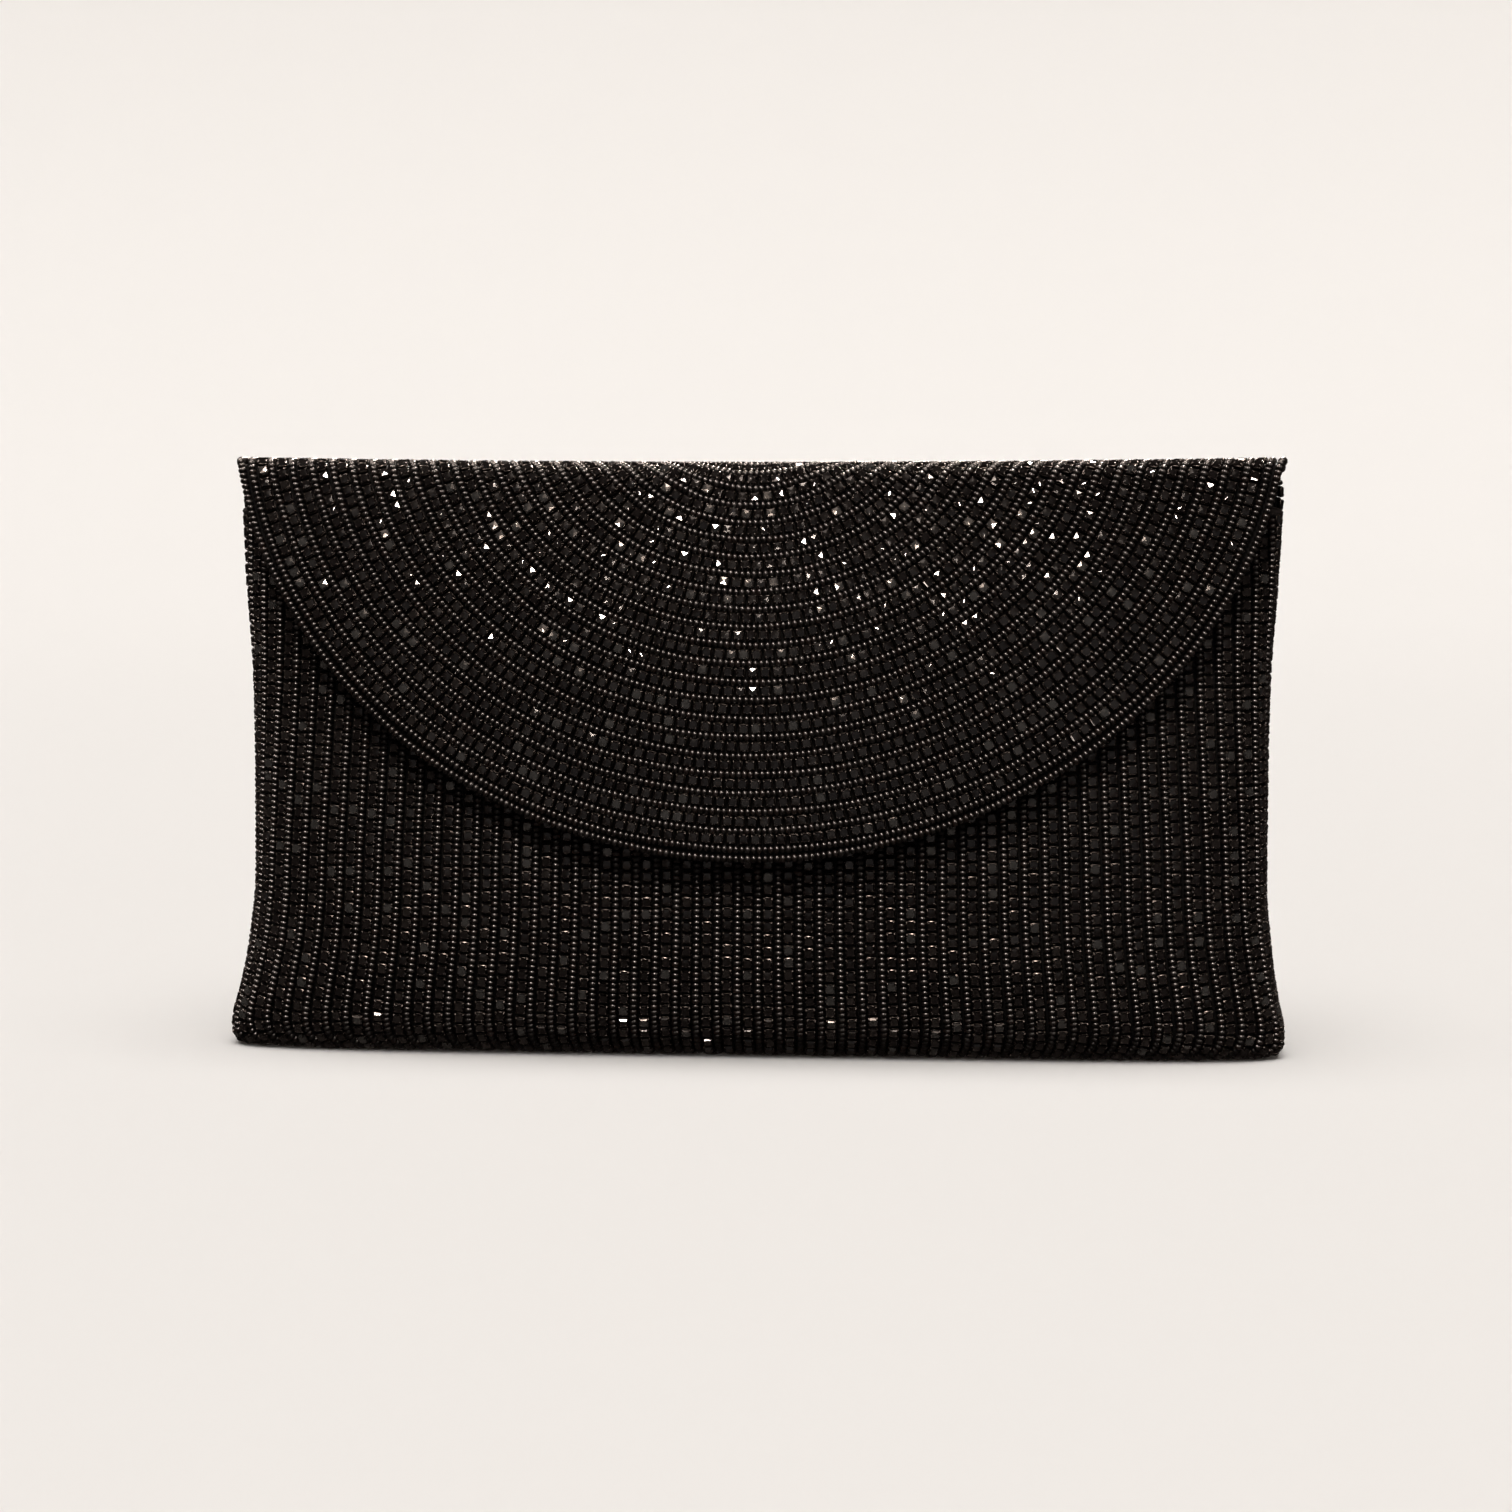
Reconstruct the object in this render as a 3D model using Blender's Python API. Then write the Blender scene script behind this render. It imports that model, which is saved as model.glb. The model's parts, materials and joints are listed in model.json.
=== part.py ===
"""A beaded envelope clutch purse, made of its separate fabric, board and metal pieces.

The purse stands on its flat bottom, centred on X. Its front faces -Y and +Z is up.
Two folds open it: the spine strip turns at the back top edge, and the flap turns on the strip.
"""

import math

import bmesh
import bpy
from mathutils import Matrix, Vector

# Overall size, in metres
TOP_HEIGHT = 0.153
FRONT_WALL_HEIGHT = 0.139
BACK_WALL_HEIGHT = 0.148

# Layers of a wall, from the outside in
PANEL_THICKNESS = 0.0022
BOARD_THICKNESS = 0.0009
LINING_THICKNESS = 0.0006
GAP = 0.0003
BOARD_DEPTH = PANEL_THICKNESS + GAP
LINING_DEPTH = BOARD_DEPTH + BOARD_THICKNESS + GAP
WALL_THICKNESS = LINING_DEPTH + LINING_THICKNESS

# The plane where the front and back walls meet, set so that the whole purse is centred on Y
SEAM_Y = 0.0067

# The body's outline: pairs of height and size
HALF_WIDTH = ((0.0, 0.1345), (0.005, 0.1368), (0.012, 0.1354), (0.025, 0.1332), (0.050, 0.1313),
              (0.100, 0.1318), (0.128, 0.1338), (0.148, 0.1345))
FRONT_DEPTH = ((0.0, 0.0130), (0.004, 0.0185), (0.012, 0.0232), (0.030, 0.0262), (0.050, 0.0266),
               (0.080, 0.0232), (0.110, 0.0176), (0.139, 0.0098))
BACK_DEPTH = ((0.0, 0.0125), (0.004, 0.0163), (0.012, 0.0185), (0.030, 0.0194), (0.070, 0.0186),
              (0.110, 0.0148), (0.148, 0.0095))
FRONT_CORNER_POWER = ((0.0, 5.0), (0.012, 4.0), (0.030, 3.2), (0.080, 3.0), (0.139, 3.4))
BACK_CORNER_POWER = ((0.0, 5.0), (0.012, 4.0), (0.030, 3.2), (0.080, 3.0), (0.139, 5.0), (0.148, 7.0))

# The walls end at a narrow gusset on each side, this share of the wall's depth from the middle
GUSSET_SHARE = 0.16

# The flap: half an ellipse, measured along its outer surface from the back fold
FLAP_HALF_WIDTH = 0.135
FLAP_LENGTH = 0.1215
BACK_FOLD_Y = SEAM_Y + 0.0095
FRONT_FOLD_Y = SEAM_Y - 0.0045
FOLD_RADIUS = 0.0085
FOLD_TURN = math.radians(70)
LOWER_TURN = math.radians(16)
FLATTENING = 0.33
FLATTENING_POWER = 2.4
EDGE_BINDING_WIDTH = 0.0012
EDGE_TIP = 0.0015
FLAP_BOARD_INSET = 0.004

# The slip pocket on the back lining
POCKET_HALF_WIDTH = 0.060
POCKET_BOTTOM = 0.035
POCKET_TOP = 0.100
POCKET_BINDING_HEIGHT = 0.004

# The bound top edge of the front wall
MOUTH_BINDING_HEIGHT = 0.0012

# The magnetic snap, measured from the front board outwards along its axis
SNAP_DISTANCE = 0.102
SNAP_RADIUS = 0.0070
SNAP_SHEET = 0.0005
SOCKET_HEIGHT = 0.0026
SOCKET_MOUTH_RADIUS = 0.0032
MAGNET_RADIUS = 0.0062
MAGNET_HOLE_RADIUS = 0.0035
STUD_RADIUS = 0.0026
STUD_LENGTH = 0.0013
STUD_PLATE_HEIGHT = 0.0010
WASHER_RADIUS = 0.0080
WASHER_THICKNESS = 0.0007
ROUND_SIDES = 24

# Grid divisions of the curved sheets. Layers share the levels, so that their facets run parallel.
ACROSS = 20
FOLD_ROWS = 5
LOWER_ROWS = 7
LEVELS = (0.0, BOARD_DEPTH, LINING_DEPTH + GAP, 0.008, 0.014, 0.025, 0.045, 0.070, 0.095, 0.120,
          FRONT_WALL_HEIGHT)


def clear_scene():
    for scene_object in list(bpy.data.objects):
        bpy.data.objects.remove(scene_object, do_unlink=True)


def make_material(name, colour, roughness, metallic=0.0):
    material = bpy.data.materials.new(name)
    material.use_nodes = True
    shader = material.node_tree.nodes["Principled BSDF"]
    shader.inputs["Base Color"].default_value = (*colour, 1.0)
    shader.inputs["Roughness"].default_value = roughness
    shader.inputs["Metallic"].default_value = metallic
    return material


def make_axis(name, location, parent=None):
    """An empty on a fold's axis, which carries every piece that turns on that fold."""
    axis = bpy.data.objects.new(name, None)
    bpy.context.collection.objects.link(axis)
    axis.empty_display_size = 0.02
    axis.location = location
    if parent is not None:
        axis.parent = parent
        axis.matrix_parent_inverse = Matrix.Translation(-parent.location)
    return axis


def add_object(name, bm, material, axis=None):
    """Turn a finished bmesh into an object with its own material, its faces pointing out."""
    bmesh.ops.recalc_face_normals(bm, faces=bm.faces)
    if bm.calc_volume(signed=True) < 0:
        bmesh.ops.reverse_faces(bm, faces=bm.faces)
    mesh = bpy.data.meshes.new(name)
    bm.to_mesh(mesh)
    bm.free()
    mesh.materials.append(material)
    mesh.shade_smooth()
    mesh.set_sharp_from_angle(angle=math.radians(35))
    piece = bpy.data.objects.new(name, mesh)
    bpy.context.collection.objects.link(piece)
    if axis is not None:
        piece.parent = axis
        piece.matrix_parent_inverse = Matrix.Translation(-axis.location)
    return piece


def smooth_value(pairs, position):
    """A smooth curve through (position, value) pairs that never overshoots them."""
    xs = [pair[0] for pair in pairs]
    ys = [pair[1] for pair in pairs]
    slopes = [(ys[i + 1] - ys[i]) / (xs[i + 1] - xs[i]) for i in range(len(xs) - 1)]
    tangents = [slopes[0]]
    for before, after in zip(slopes, slopes[1:]):
        same_way = before * after > 0
        tangents.append(2 * before * after / (before + after) if same_way else 0.0)
    tangents.append(slopes[-1])
    position = min(max(position, xs[0]), xs[-1])
    i = 0
    while i < len(xs) - 2 and position > xs[i + 1]:
        i += 1
    width = xs[i + 1] - xs[i]
    t = (position - xs[i]) / width
    start = ys[i] * (1 + 2 * t) + tangents[i] * width * t
    end = ys[i + 1] * (3 - 2 * t) - tangents[i + 1] * width * (1 - t)
    return start * (1 - t) ** 2 + end * t ** 2


def mix(first, second, share):
    return first + (second - first) * share


# The body: each level is a rounded lens between a front and a back depth

def wall_section(side, height, depth):
    """Half width, half depth and corner power of the front (side -1) or back (side +1) wall."""
    outline = FRONT_DEPTH if side < 0 else BACK_DEPTH
    power = FRONT_CORNER_POWER if side < 0 else BACK_CORNER_POWER
    half_width = smooth_value(HALF_WIDTH, height) - depth
    half_depth = smooth_value(outline, height) - depth
    return half_width, half_depth, smooth_value(power, height)


def wall_point(side, angle, height, depth):
    """A point of a wall, at a depth inside its outer surface."""
    half_width, half_depth, power = wall_section(side, height, depth)
    exponent = 2 / power
    x = half_width * math.copysign(abs(math.cos(angle)) ** exponent, math.cos(angle))
    y = SEAM_Y + side * half_depth * math.sin(angle) ** exponent
    return Vector((x, y, height))


def wall_angle(side, across, height):
    """The angle at a share across a wall, which stops where its depth is the gusset's share."""
    power = wall_section(side, height, 0.0)[2]
    start = math.asin(GUSSET_SHARE ** (power / 2))
    return mix(math.pi - start, start, across)


def levels_between(bottom, top):
    return [level for level in LEVELS if bottom <= level < top] + [top]


def flat_point(side, x, height, depth):
    """The wall point at a given x, for pieces that lie flat on the wall's inside."""
    half_width, half_depth, power = wall_section(side, height, depth)
    y = SEAM_Y + side * half_depth * (1 - abs(x / half_width) ** power) ** (1 / power)
    return Vector((x, y, height))


def curved_sheet(name, material, across, along, place, axis=None):
    """A closed sheet: a grid is thickened in its own units, then each point is placed.

    place receives the shares across, along and through the sheet, each from 0 to 1.
    """
    bm = bmesh.new()
    bmesh.ops.create_grid(bm, x_segments=across, y_segments=along, size=0.5)
    made = bmesh.ops.extrude_face_region(bm, geom=bm.faces[:])
    inner = [item for item in made["geom"] if isinstance(item, bmesh.types.BMVert)]
    bmesh.ops.translate(bm, verts=inner, vec=(0, 0, 1))
    for vertex in bm.verts:
        vertex.co = place(vertex.co.x + 0.5, vertex.co.y + 0.5, vertex.co.z)
    return add_object(name, bm, material, axis)


def wall_sheet(name, material, side, bottom, top, depth, thickness):
    levels = levels_between(bottom, top)
    rows = len(levels) - 1

    def place(across, along, through):
        height = levels[round(along * rows)]
        angle = wall_angle(side, across, height)
        return wall_point(side, angle, height, depth + thickness * through)

    return curved_sheet(name, material, ACROSS, rows, place)


def base_plate(name, material, bottom, thickness, depth):
    """A flat plate whose outline is the body's outline at its underside, less a depth."""
    def place(across, along, through):
        angle = wall_angle(-1, across, bottom)
        front = wall_point(-1, angle, bottom, depth)
        back = wall_point(1, angle, bottom, depth)
        point = front.lerp(back, along)
        point.z = bottom + thickness * through
        return point

    return curved_sheet(name, material, ACROSS, 2, place)


def side_gusset(name, material, side):
    levels = levels_between(0.0, FRONT_WALL_HEIGHT)
    rows = len(levels) - 1

    def place(across, along, through):
        height = levels[round(along * rows)]
        depth = PANEL_THICKNESS * through
        front = SEAM_Y + GAP - GUSSET_SHARE * (smooth_value(FRONT_DEPTH, height) - depth)
        back = SEAM_Y - GAP + GUSSET_SHARE * (smooth_value(BACK_DEPTH, height) - depth)
        x = side * (smooth_value(HALF_WIDTH, height) - depth)
        return Vector((x, mix(front, back, across), height))

    return curved_sheet(name, material, 2, rows, place)


# The flap: its outer surface runs flat over the spine, round the front fold and down the front

def flap_profile(distance):
    """The middle line's position (y, z) and its angle below level, at a distance from the back fold."""
    spine = BACK_FOLD_Y - FRONT_FOLD_Y
    if distance <= spine:
        return BACK_FOLD_Y - distance, TOP_HEIGHT, 0.0
    arc_length = FOLD_RADIUS * FOLD_TURN
    turned = min((distance - spine) / FOLD_RADIUS, FOLD_TURN)
    y = FRONT_FOLD_Y - FOLD_RADIUS * math.sin(turned)
    z = TOP_HEIGHT - FOLD_RADIUS * (1 - math.cos(turned))
    rest = distance - spine - arc_length
    if rest <= 0:
        return y, z, turned
    lower_length = FLAP_LENGTH - spine - arc_length
    lower_radius = lower_length / LOWER_TURN
    angle = FOLD_TURN + rest / lower_radius
    y -= lower_radius * (math.sin(angle) - math.sin(FOLD_TURN))
    z -= lower_radius * (math.cos(FOLD_TURN) - math.cos(angle))
    return y, z, angle


def flap_point(x, distance, depth):
    """A point of the flap at a depth inside its outer surface. The flap flattens to its sides."""
    y, z, angle = flap_profile(distance)
    flattening = 1 - FLATTENING * abs(x / FLAP_HALF_WIDTH) ** FLATTENING_POWER
    y = FRONT_FOLD_Y + (y - FRONT_FOLD_Y) * flattening
    return Vector((x, y + depth * math.sin(angle), z - depth * math.cos(angle)))


def flap_rows(start, end):
    """Distances of a flap layer's rows on its middle line, close together round the fold."""
    fold_start = BACK_FOLD_Y - FRONT_FOLD_Y
    fold_end = fold_start + FOLD_RADIUS * FOLD_TURN
    rows = []
    if start < fold_end:
        rows = [mix(start, fold_end, row / FOLD_ROWS) for row in range(FOLD_ROWS)]
        start = fold_end
    return rows + [mix(start, end, row / LOWER_ROWS) for row in range(LOWER_ROWS + 1)]


def flap_sheet(name, material, axis, depth_at, thickness, start, inset=0.0):
    """One layer of the flap. start is the distance of its straight edge from the back fold."""
    trim = EDGE_BINDING_WIDTH + 2 * GAP + inset
    half_width = FLAP_HALF_WIDTH - trim
    length = FLAP_LENGTH - trim
    widest = half_width * math.sqrt(1 - ((start + EDGE_TIP) / length) ** 2)
    middle_rows = flap_rows(start, length)
    rows = len(middle_rows) - 1

    def place(across, along, through):
        x = widest * math.sin(math.pi * (across - 0.5))
        end = length * math.sqrt(1 - (x / half_width) ** 2)
        share = (middle_rows[round(along * rows)] - start) / (length - start)
        distance = mix(start, end, share)
        return flap_point(x, distance, depth_at(distance) + thickness * through)

    return curved_sheet(name, material, ACROSS, rows, place, axis)


def flap_edge_binding(material, axis, start):
    """The turned edge that follows the curved rim of the flap."""
    first = math.asin((start + EDGE_TIP) / FLAP_LENGTH)

    def place(across, along, through):
        angle = mix(math.pi - first, first, across)
        inset = EDGE_BINDING_WIDTH * (1 - along)
        x = (FLAP_HALF_WIDTH - inset) * math.cos(angle)
        distance = (FLAP_LENGTH - inset) * math.sin(angle)
        return flap_point(x, distance, WALL_THICKNESS * through)

    return curved_sheet("flap_edge_binding", material, 2 * ACROSS, 1, place, axis)


def spine_sheet(name, material, axis, depth, thickness):
    """One layer of the flat strip between the two folds."""
    def place(across, along, through):
        x = mix(-FLAP_HALF_WIDTH, FLAP_HALF_WIDTH, across) * 0.992
        y = mix(BACK_FOLD_Y - GAP, FRONT_FOLD_Y + GAP, along)
        return Vector((x, y, TOP_HEIGHT - depth - thickness * through))

    return curved_sheet(name, material, 8, 2, place, axis)


# The snap: turned pieces on one axis through the front wall and the flap

def snap_frame():
    """The snap's frame: its +Z points out of the front wall, and its origin is on the board."""
    y, z, angle = flap_profile(SNAP_DISTANCE)
    outward = Vector((0, -math.sin(angle), math.cos(angle)))
    wall = flat_point(-1, 0.0, z, PANEL_THICKNESS)
    turn = outward.to_track_quat("Z", "Y").to_matrix().to_4x4()
    lining_height = outward.dot(Vector((0, y, z)) - wall) - WALL_THICKNESS
    return Matrix.Translation(wall) @ turn, lining_height


def turned_piece(name, material, frame, profile, closed, axis=None):
    """Spin a profile of (radius, height) points round the snap's axis."""
    bm = bmesh.new()
    points = [bm.verts.new((radius, 0.0, height)) for radius, height in profile]
    pairs = list(zip(points, points[1:]))
    if closed:
        pairs.append((points[-1], points[0]))
    edges = [bm.edges.new(pair) for pair in pairs]
    bmesh.ops.spin(bm, geom=points + edges, cent=(0, 0, 0), axis=(0, 0, 1), angle=2 * math.pi,
                   steps=ROUND_SIDES, use_merge=True)
    bmesh.ops.remove_doubles(bm, verts=bm.verts, dist=1e-6)
    bmesh.ops.transform(bm, matrix=frame, verts=bm.verts)
    return add_object(name, bm, material, axis)


def cut_round_hole(piece, frame, radius):
    """Cut a hole through a layer, round the snap's axis."""
    bm = bmesh.new()
    bmesh.ops.create_cone(bm, cap_ends=True, segments=ROUND_SIDES, radius1=radius, radius2=radius,
                          depth=0.008)
    bmesh.ops.transform(bm, matrix=frame, verts=bm.verts)
    cutter = add_object(piece.name + "_cutter", bm, piece.data.materials[0])
    cutter.hide_render = True
    cutter.display_type = "WIRE"
    cut = piece.modifiers.new("snap_hole", "BOOLEAN")
    cut.object = cutter
    cut.operation = "DIFFERENCE"
    cut.solver = "EXACT"


def washer(name, material, frame, middle_height, axis=None):
    half = WASHER_THICKNESS / 2
    profile = ((MAGNET_HOLE_RADIUS, middle_height - half), (WASHER_RADIUS, middle_height - half),
               (WASHER_RADIUS, middle_height + half), (MAGNET_HOLE_RADIUS, middle_height + half))
    turned_piece(name, material, frame, profile, True, axis)


def make_walls(beads, board, satin, trim):
    front_panel = wall_sheet("front_beaded_panel", beads, -1, 0.0, FRONT_WALL_HEIGHT, 0.0,
                             PANEL_THICKNESS)
    wall_sheet("back_beaded_panel", beads, 1, 0.0, BACK_WALL_HEIGHT, 0.0, PANEL_THICKNESS)
    front_board = wall_sheet("front_board", board, -1, BOARD_DEPTH, FRONT_WALL_HEIGHT, BOARD_DEPTH,
                             BOARD_THICKNESS)
    wall_sheet("back_board", board, 1, BOARD_DEPTH, BACK_WALL_HEIGHT, BOARD_DEPTH, BOARD_THICKNESS)
    lining_bottom = LINING_DEPTH + GAP
    wall_sheet("front_lining", satin, -1, lining_bottom, FRONT_WALL_HEIGHT, LINING_DEPTH,
               LINING_THICKNESS)
    wall_sheet("back_lining", satin, 1, lining_bottom, BACK_WALL_HEIGHT, LINING_DEPTH,
               LINING_THICKNESS)
    base_plate("base_beaded_panel", beads, 0.0, PANEL_THICKNESS, BOARD_DEPTH)
    base_plate("base_board", board, BOARD_DEPTH, BOARD_THICKNESS, LINING_DEPTH)
    base_plate("base_lining", satin, lining_bottom, LINING_THICKNESS, WALL_THICKNESS + GAP)
    side_gusset("left_side_gusset", beads, -1)
    side_gusset("right_side_gusset", beads, 1)

    def place_mouth_binding(across, along, through):
        angle = wall_angle(-1, across, FRONT_WALL_HEIGHT)
        point = wall_point(-1, angle, FRONT_WALL_HEIGHT, WALL_THICKNESS * along)
        point.z += GAP + MOUTH_BINDING_HEIGHT * through
        return point

    curved_sheet("mouth_binding", trim, ACROSS, 1, place_mouth_binding)
    return front_panel, front_board


def make_pocket(satin, trim):
    def pocket_sheet(name, material, bottom, top, thickness, rows):
        def place(across, along, through):
            x = mix(-POCKET_HALF_WIDTH, POCKET_HALF_WIDTH, across)
            depth = WALL_THICKNESS + GAP + thickness * through
            return flat_point(1, x, mix(bottom, top, along), depth)

        curved_sheet(name, material, 12, rows, place)

    pocket_sheet("slip_pocket", satin, POCKET_BOTTOM, POCKET_TOP, LINING_THICKNESS, 5)
    pocket_sheet("pocket_binding", trim, POCKET_TOP + GAP, POCKET_TOP + GAP + POCKET_BINDING_HEIGHT,
                 2 * LINING_THICKNESS, 1)


def make_flap(beads, board, satin, trim, spine_axis, flap_axis):
    spine_lining_depth = PANEL_THICKNESS + GAP
    spine_sheet("spine_beaded_strip", beads, spine_axis, 0.0, PANEL_THICKNESS)
    spine_sheet("spine_lining", satin, spine_axis, spine_lining_depth, LINING_THICKNESS)
    fold_start = BACK_FOLD_Y - FRONT_FOLD_Y + GAP
    fold_end = fold_start + FOLD_RADIUS * FOLD_TURN

    def lining_depth(distance):
        """The lining drops behind the board, which starts where the fold ends."""
        share = min((distance - fold_start) / (fold_end - fold_start), 1.0)
        return mix(spine_lining_depth, LINING_DEPTH, share)

    flap_sheet("flap_beaded_panel", beads, flap_axis, lambda distance: 0.0, PANEL_THICKNESS,
               fold_start)
    flap_board = flap_sheet("flap_board", board, flap_axis, lambda distance: BOARD_DEPTH,
                            BOARD_THICKNESS, fold_end + FLAP_BOARD_INSET, FLAP_BOARD_INSET)
    flap_sheet("flap_lining", satin, flap_axis, lining_depth, LINING_THICKNESS, fold_start)
    flap_edge_binding(trim, flap_axis, fold_start)
    return flap_board


def make_snap(metal, magnet, steel, front_panel, front_board, flap_board, flap_axis):
    frame, lining_height = snap_frame()
    inside = SNAP_RADIUS - SNAP_SHEET
    ceiling = SOCKET_HEIGHT - SNAP_SHEET
    case = ((inside, 0.0), (SNAP_RADIUS, 0.0), (SNAP_RADIUS, SOCKET_HEIGHT),
            (SOCKET_MOUTH_RADIUS, SOCKET_HEIGHT), (SOCKET_MOUTH_RADIUS, ceiling), (inside, ceiling))
    turned_piece("snap_socket_case", metal, frame, case, True)
    magnet_top = ceiling - GAP
    ring = ((MAGNET_HOLE_RADIUS, 0.0), (MAGNET_RADIUS, 0.0), (MAGNET_RADIUS, magnet_top),
            (MAGNET_HOLE_RADIUS, magnet_top))
    turned_piece("snap_socket_magnet", magnet, frame, ring, True)
    washer("snap_socket_washer", steel, frame, -(GAP + BOARD_THICKNESS / 2))
    cut_round_hole(front_panel, frame, SNAP_RADIUS + GAP)
    cut_round_hole(front_board, frame, WASHER_RADIUS + GAP)

    plate_top = lining_height - GAP
    plate_bottom = plate_top - STUD_PLATE_HEIGHT
    stud_tip = plate_bottom - STUD_LENGTH
    stud = ((0.0, stud_tip), (STUD_RADIUS, stud_tip), (STUD_RADIUS, plate_bottom),
            (SNAP_RADIUS, plate_bottom), (SNAP_RADIUS, plate_top), (0.0, plate_top))
    turned_piece("snap_stud_plate", metal, frame, stud, False, flap_axis)
    board_middle = lining_height + WALL_THICKNESS - BOARD_DEPTH - BOARD_THICKNESS / 2
    washer("snap_stud_washer", steel, frame, board_middle, flap_axis)
    board_hole = frame @ Matrix.Translation((0, 0, board_middle))
    cut_round_hole(flap_board, board_hole, WASHER_RADIUS + GAP)


def main():
    clear_scene()
    beads = make_material("black_glass_beads", (0.012, 0.011, 0.012), 0.22)
    board = make_material("grey_board", (0.30, 0.29, 0.27), 0.85)
    satin = make_material("black_satin", (0.018, 0.017, 0.018), 0.45)
    trim = make_material("brown_black_binding", (0.035, 0.026, 0.022), 0.6)
    metal = make_material("dark_nickel", (0.42, 0.41, 0.40), 0.3, 1.0)
    magnet = make_material("plain_magnet", (0.20, 0.20, 0.21), 0.4, 1.0)
    steel = make_material("zinc_steel", (0.55, 0.55, 0.54), 0.35, 1.0)

    spine_axis = make_axis("back_fold_axis", Vector((0, BACK_FOLD_Y, TOP_HEIGHT)))
    flap_axis = make_axis("front_fold_axis", Vector((0, FRONT_FOLD_Y, TOP_HEIGHT)), spine_axis)
    front_panel, front_board = make_walls(beads, board, satin, trim)
    make_pocket(satin, trim)
    flap_board = make_flap(beads, board, satin, trim, spine_axis, flap_axis)
    make_snap(metal, magnet, steel, front_panel, front_board, flap_board, flap_axis)


main()
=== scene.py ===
"""The finished look of a beaded envelope clutch purse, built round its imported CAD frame.

The outside of the purse is real beadwork: rows of round seed beads alternate with rows of
square faceted stones in claw settings, in concentric arcs on the flap and in upright columns on
the body. Lengths are in metres. The front of the purse faces -Y.
"""

import json
import math

import bmesh
import bpy
import numpy as np
from mathutils import Matrix, Vector


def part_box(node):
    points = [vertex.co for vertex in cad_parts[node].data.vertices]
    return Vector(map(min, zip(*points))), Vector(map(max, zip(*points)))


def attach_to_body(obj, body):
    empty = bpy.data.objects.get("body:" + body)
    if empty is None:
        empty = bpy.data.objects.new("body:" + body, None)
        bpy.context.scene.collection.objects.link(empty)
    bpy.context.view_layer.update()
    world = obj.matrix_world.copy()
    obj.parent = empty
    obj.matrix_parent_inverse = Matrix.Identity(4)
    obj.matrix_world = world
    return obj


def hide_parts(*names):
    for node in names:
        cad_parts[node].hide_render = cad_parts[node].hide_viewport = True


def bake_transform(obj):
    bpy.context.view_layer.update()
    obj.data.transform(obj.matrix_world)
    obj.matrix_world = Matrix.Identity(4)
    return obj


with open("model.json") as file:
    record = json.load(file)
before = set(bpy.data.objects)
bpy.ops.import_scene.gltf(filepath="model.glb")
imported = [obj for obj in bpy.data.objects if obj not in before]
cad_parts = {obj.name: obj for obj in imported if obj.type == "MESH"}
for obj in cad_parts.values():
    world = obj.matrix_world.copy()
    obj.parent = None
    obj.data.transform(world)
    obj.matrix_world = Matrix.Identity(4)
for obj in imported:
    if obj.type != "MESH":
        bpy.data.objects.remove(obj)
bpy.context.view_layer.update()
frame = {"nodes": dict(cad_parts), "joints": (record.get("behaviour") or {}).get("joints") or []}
rng = np.random.default_rng(11)

BODY, SPINE, FLAP = "purse_body", "spine", "flap"
joints = {joint["name"]: joint for joint in frame["joints"]}
BACK_FOLD_Y = joints["back_fold"]["pos_m"][1]
FRONT_FOLD_Y = joints["front_fold"]["pos_m"][1]
TOP = joints["back_fold"]["pos_m"][2]
FRONT_WALL_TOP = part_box("front_beaded_panel")[1].z
BACK_WALL_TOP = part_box("back_beaded_panel")[1].z

# The flap: half an ellipse, measured along its outer surface from the back fold
FLAP_HALF_WIDTH = 0.135
FLAP_LENGTH = 0.1215
SPINE_WIDTH = BACK_FOLD_Y - FRONT_FOLD_Y
FOLD_RADIUS = 0.0085
FOLD_TURN = math.radians(70)
LOWER_TURN = math.radians(16)
FLATTENING = 0.33
FLATTENING_POWER = 2.4
BACK_FOLD_RADIUS = 0.003
TOP_SAG = 0.0012
FLAP_WAVE = 0.00025

# The walls meet in this plane, and their plan is squarer near the mouth
SEAM_Y = BACK_FOLD_Y - 0.0095
FRONT_POWER = ((0.0, 5.0), (0.012, 4.0), (0.030, 3.2), (0.080, 3.0), (0.139, 3.4))
BACK_POWER = ((0.0, 5.0), (0.012, 4.0), (0.030, 3.2), (0.080, 3.0), (0.139, 5.0), (0.148, 7.0))

# The foot of the body leans to the left, seen from the front, and most at the left corner
LEAN_HEIGHT = 0.055
LEAN = 0.0006
LEFT_CORNER_LEAN = 0.0008

# Cloth and lining: depths below the beads' outer surface, and heights of their lowest surfaces
CLOTH_DEPTH = 0.0019
CLOTH_THICKNESS = 0.0004
CLOTH_FLOOR = 0.0012
SKIRT_INSET = 0.0006
SKIRT_HEIGHT = 0.012
LINING_DEPTH = 0.0040
LINING_THICKNESS = 0.0003
LINING_FLOOR = 0.0042
LINING_SLACK = 0.0004
SPINE_LINING_DEPTH = 0.0028

# Beadwork
ROW_SPACING = 0.0026
EDGE_ROW_INSET = 0.0008
SEED_RADIUS = 0.00105
SEED_PITCH = 0.00147
STONE_PITCH = 0.00315
STONE_DEPTH = CLOTH_DEPTH - 0.0002
MOST_SEEDS_PER_PIECE = 2500
MOST_STONES_PER_PIECE = 900
FLOOR_CLEARANCE = 0.0004        # lifts the base's beads, so that tilted ones stay above the floor
SNAP_DISTANCE = 0.102           # of the snap's middle from the back fold, along the flap
SNAP_CLEARANCE = 0.0088         # radius of cloth round the snap that has no beads

# Bindings, stitches and the pocket
RIM_INSET = 0.0007
RIM_STITCH_INSET = 0.0026
MOUTH_TRIM_DEPTH = 0.0022
MOUTH_TRIM_RISE = 0.0012
POCKET_GAP = 0.0005
POCKET_THICKNESS = 0.0004
POCKET_TRIM_THICKNESS = 0.0008
POCKET_BULGE = 0.0006


# Small helpers

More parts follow.
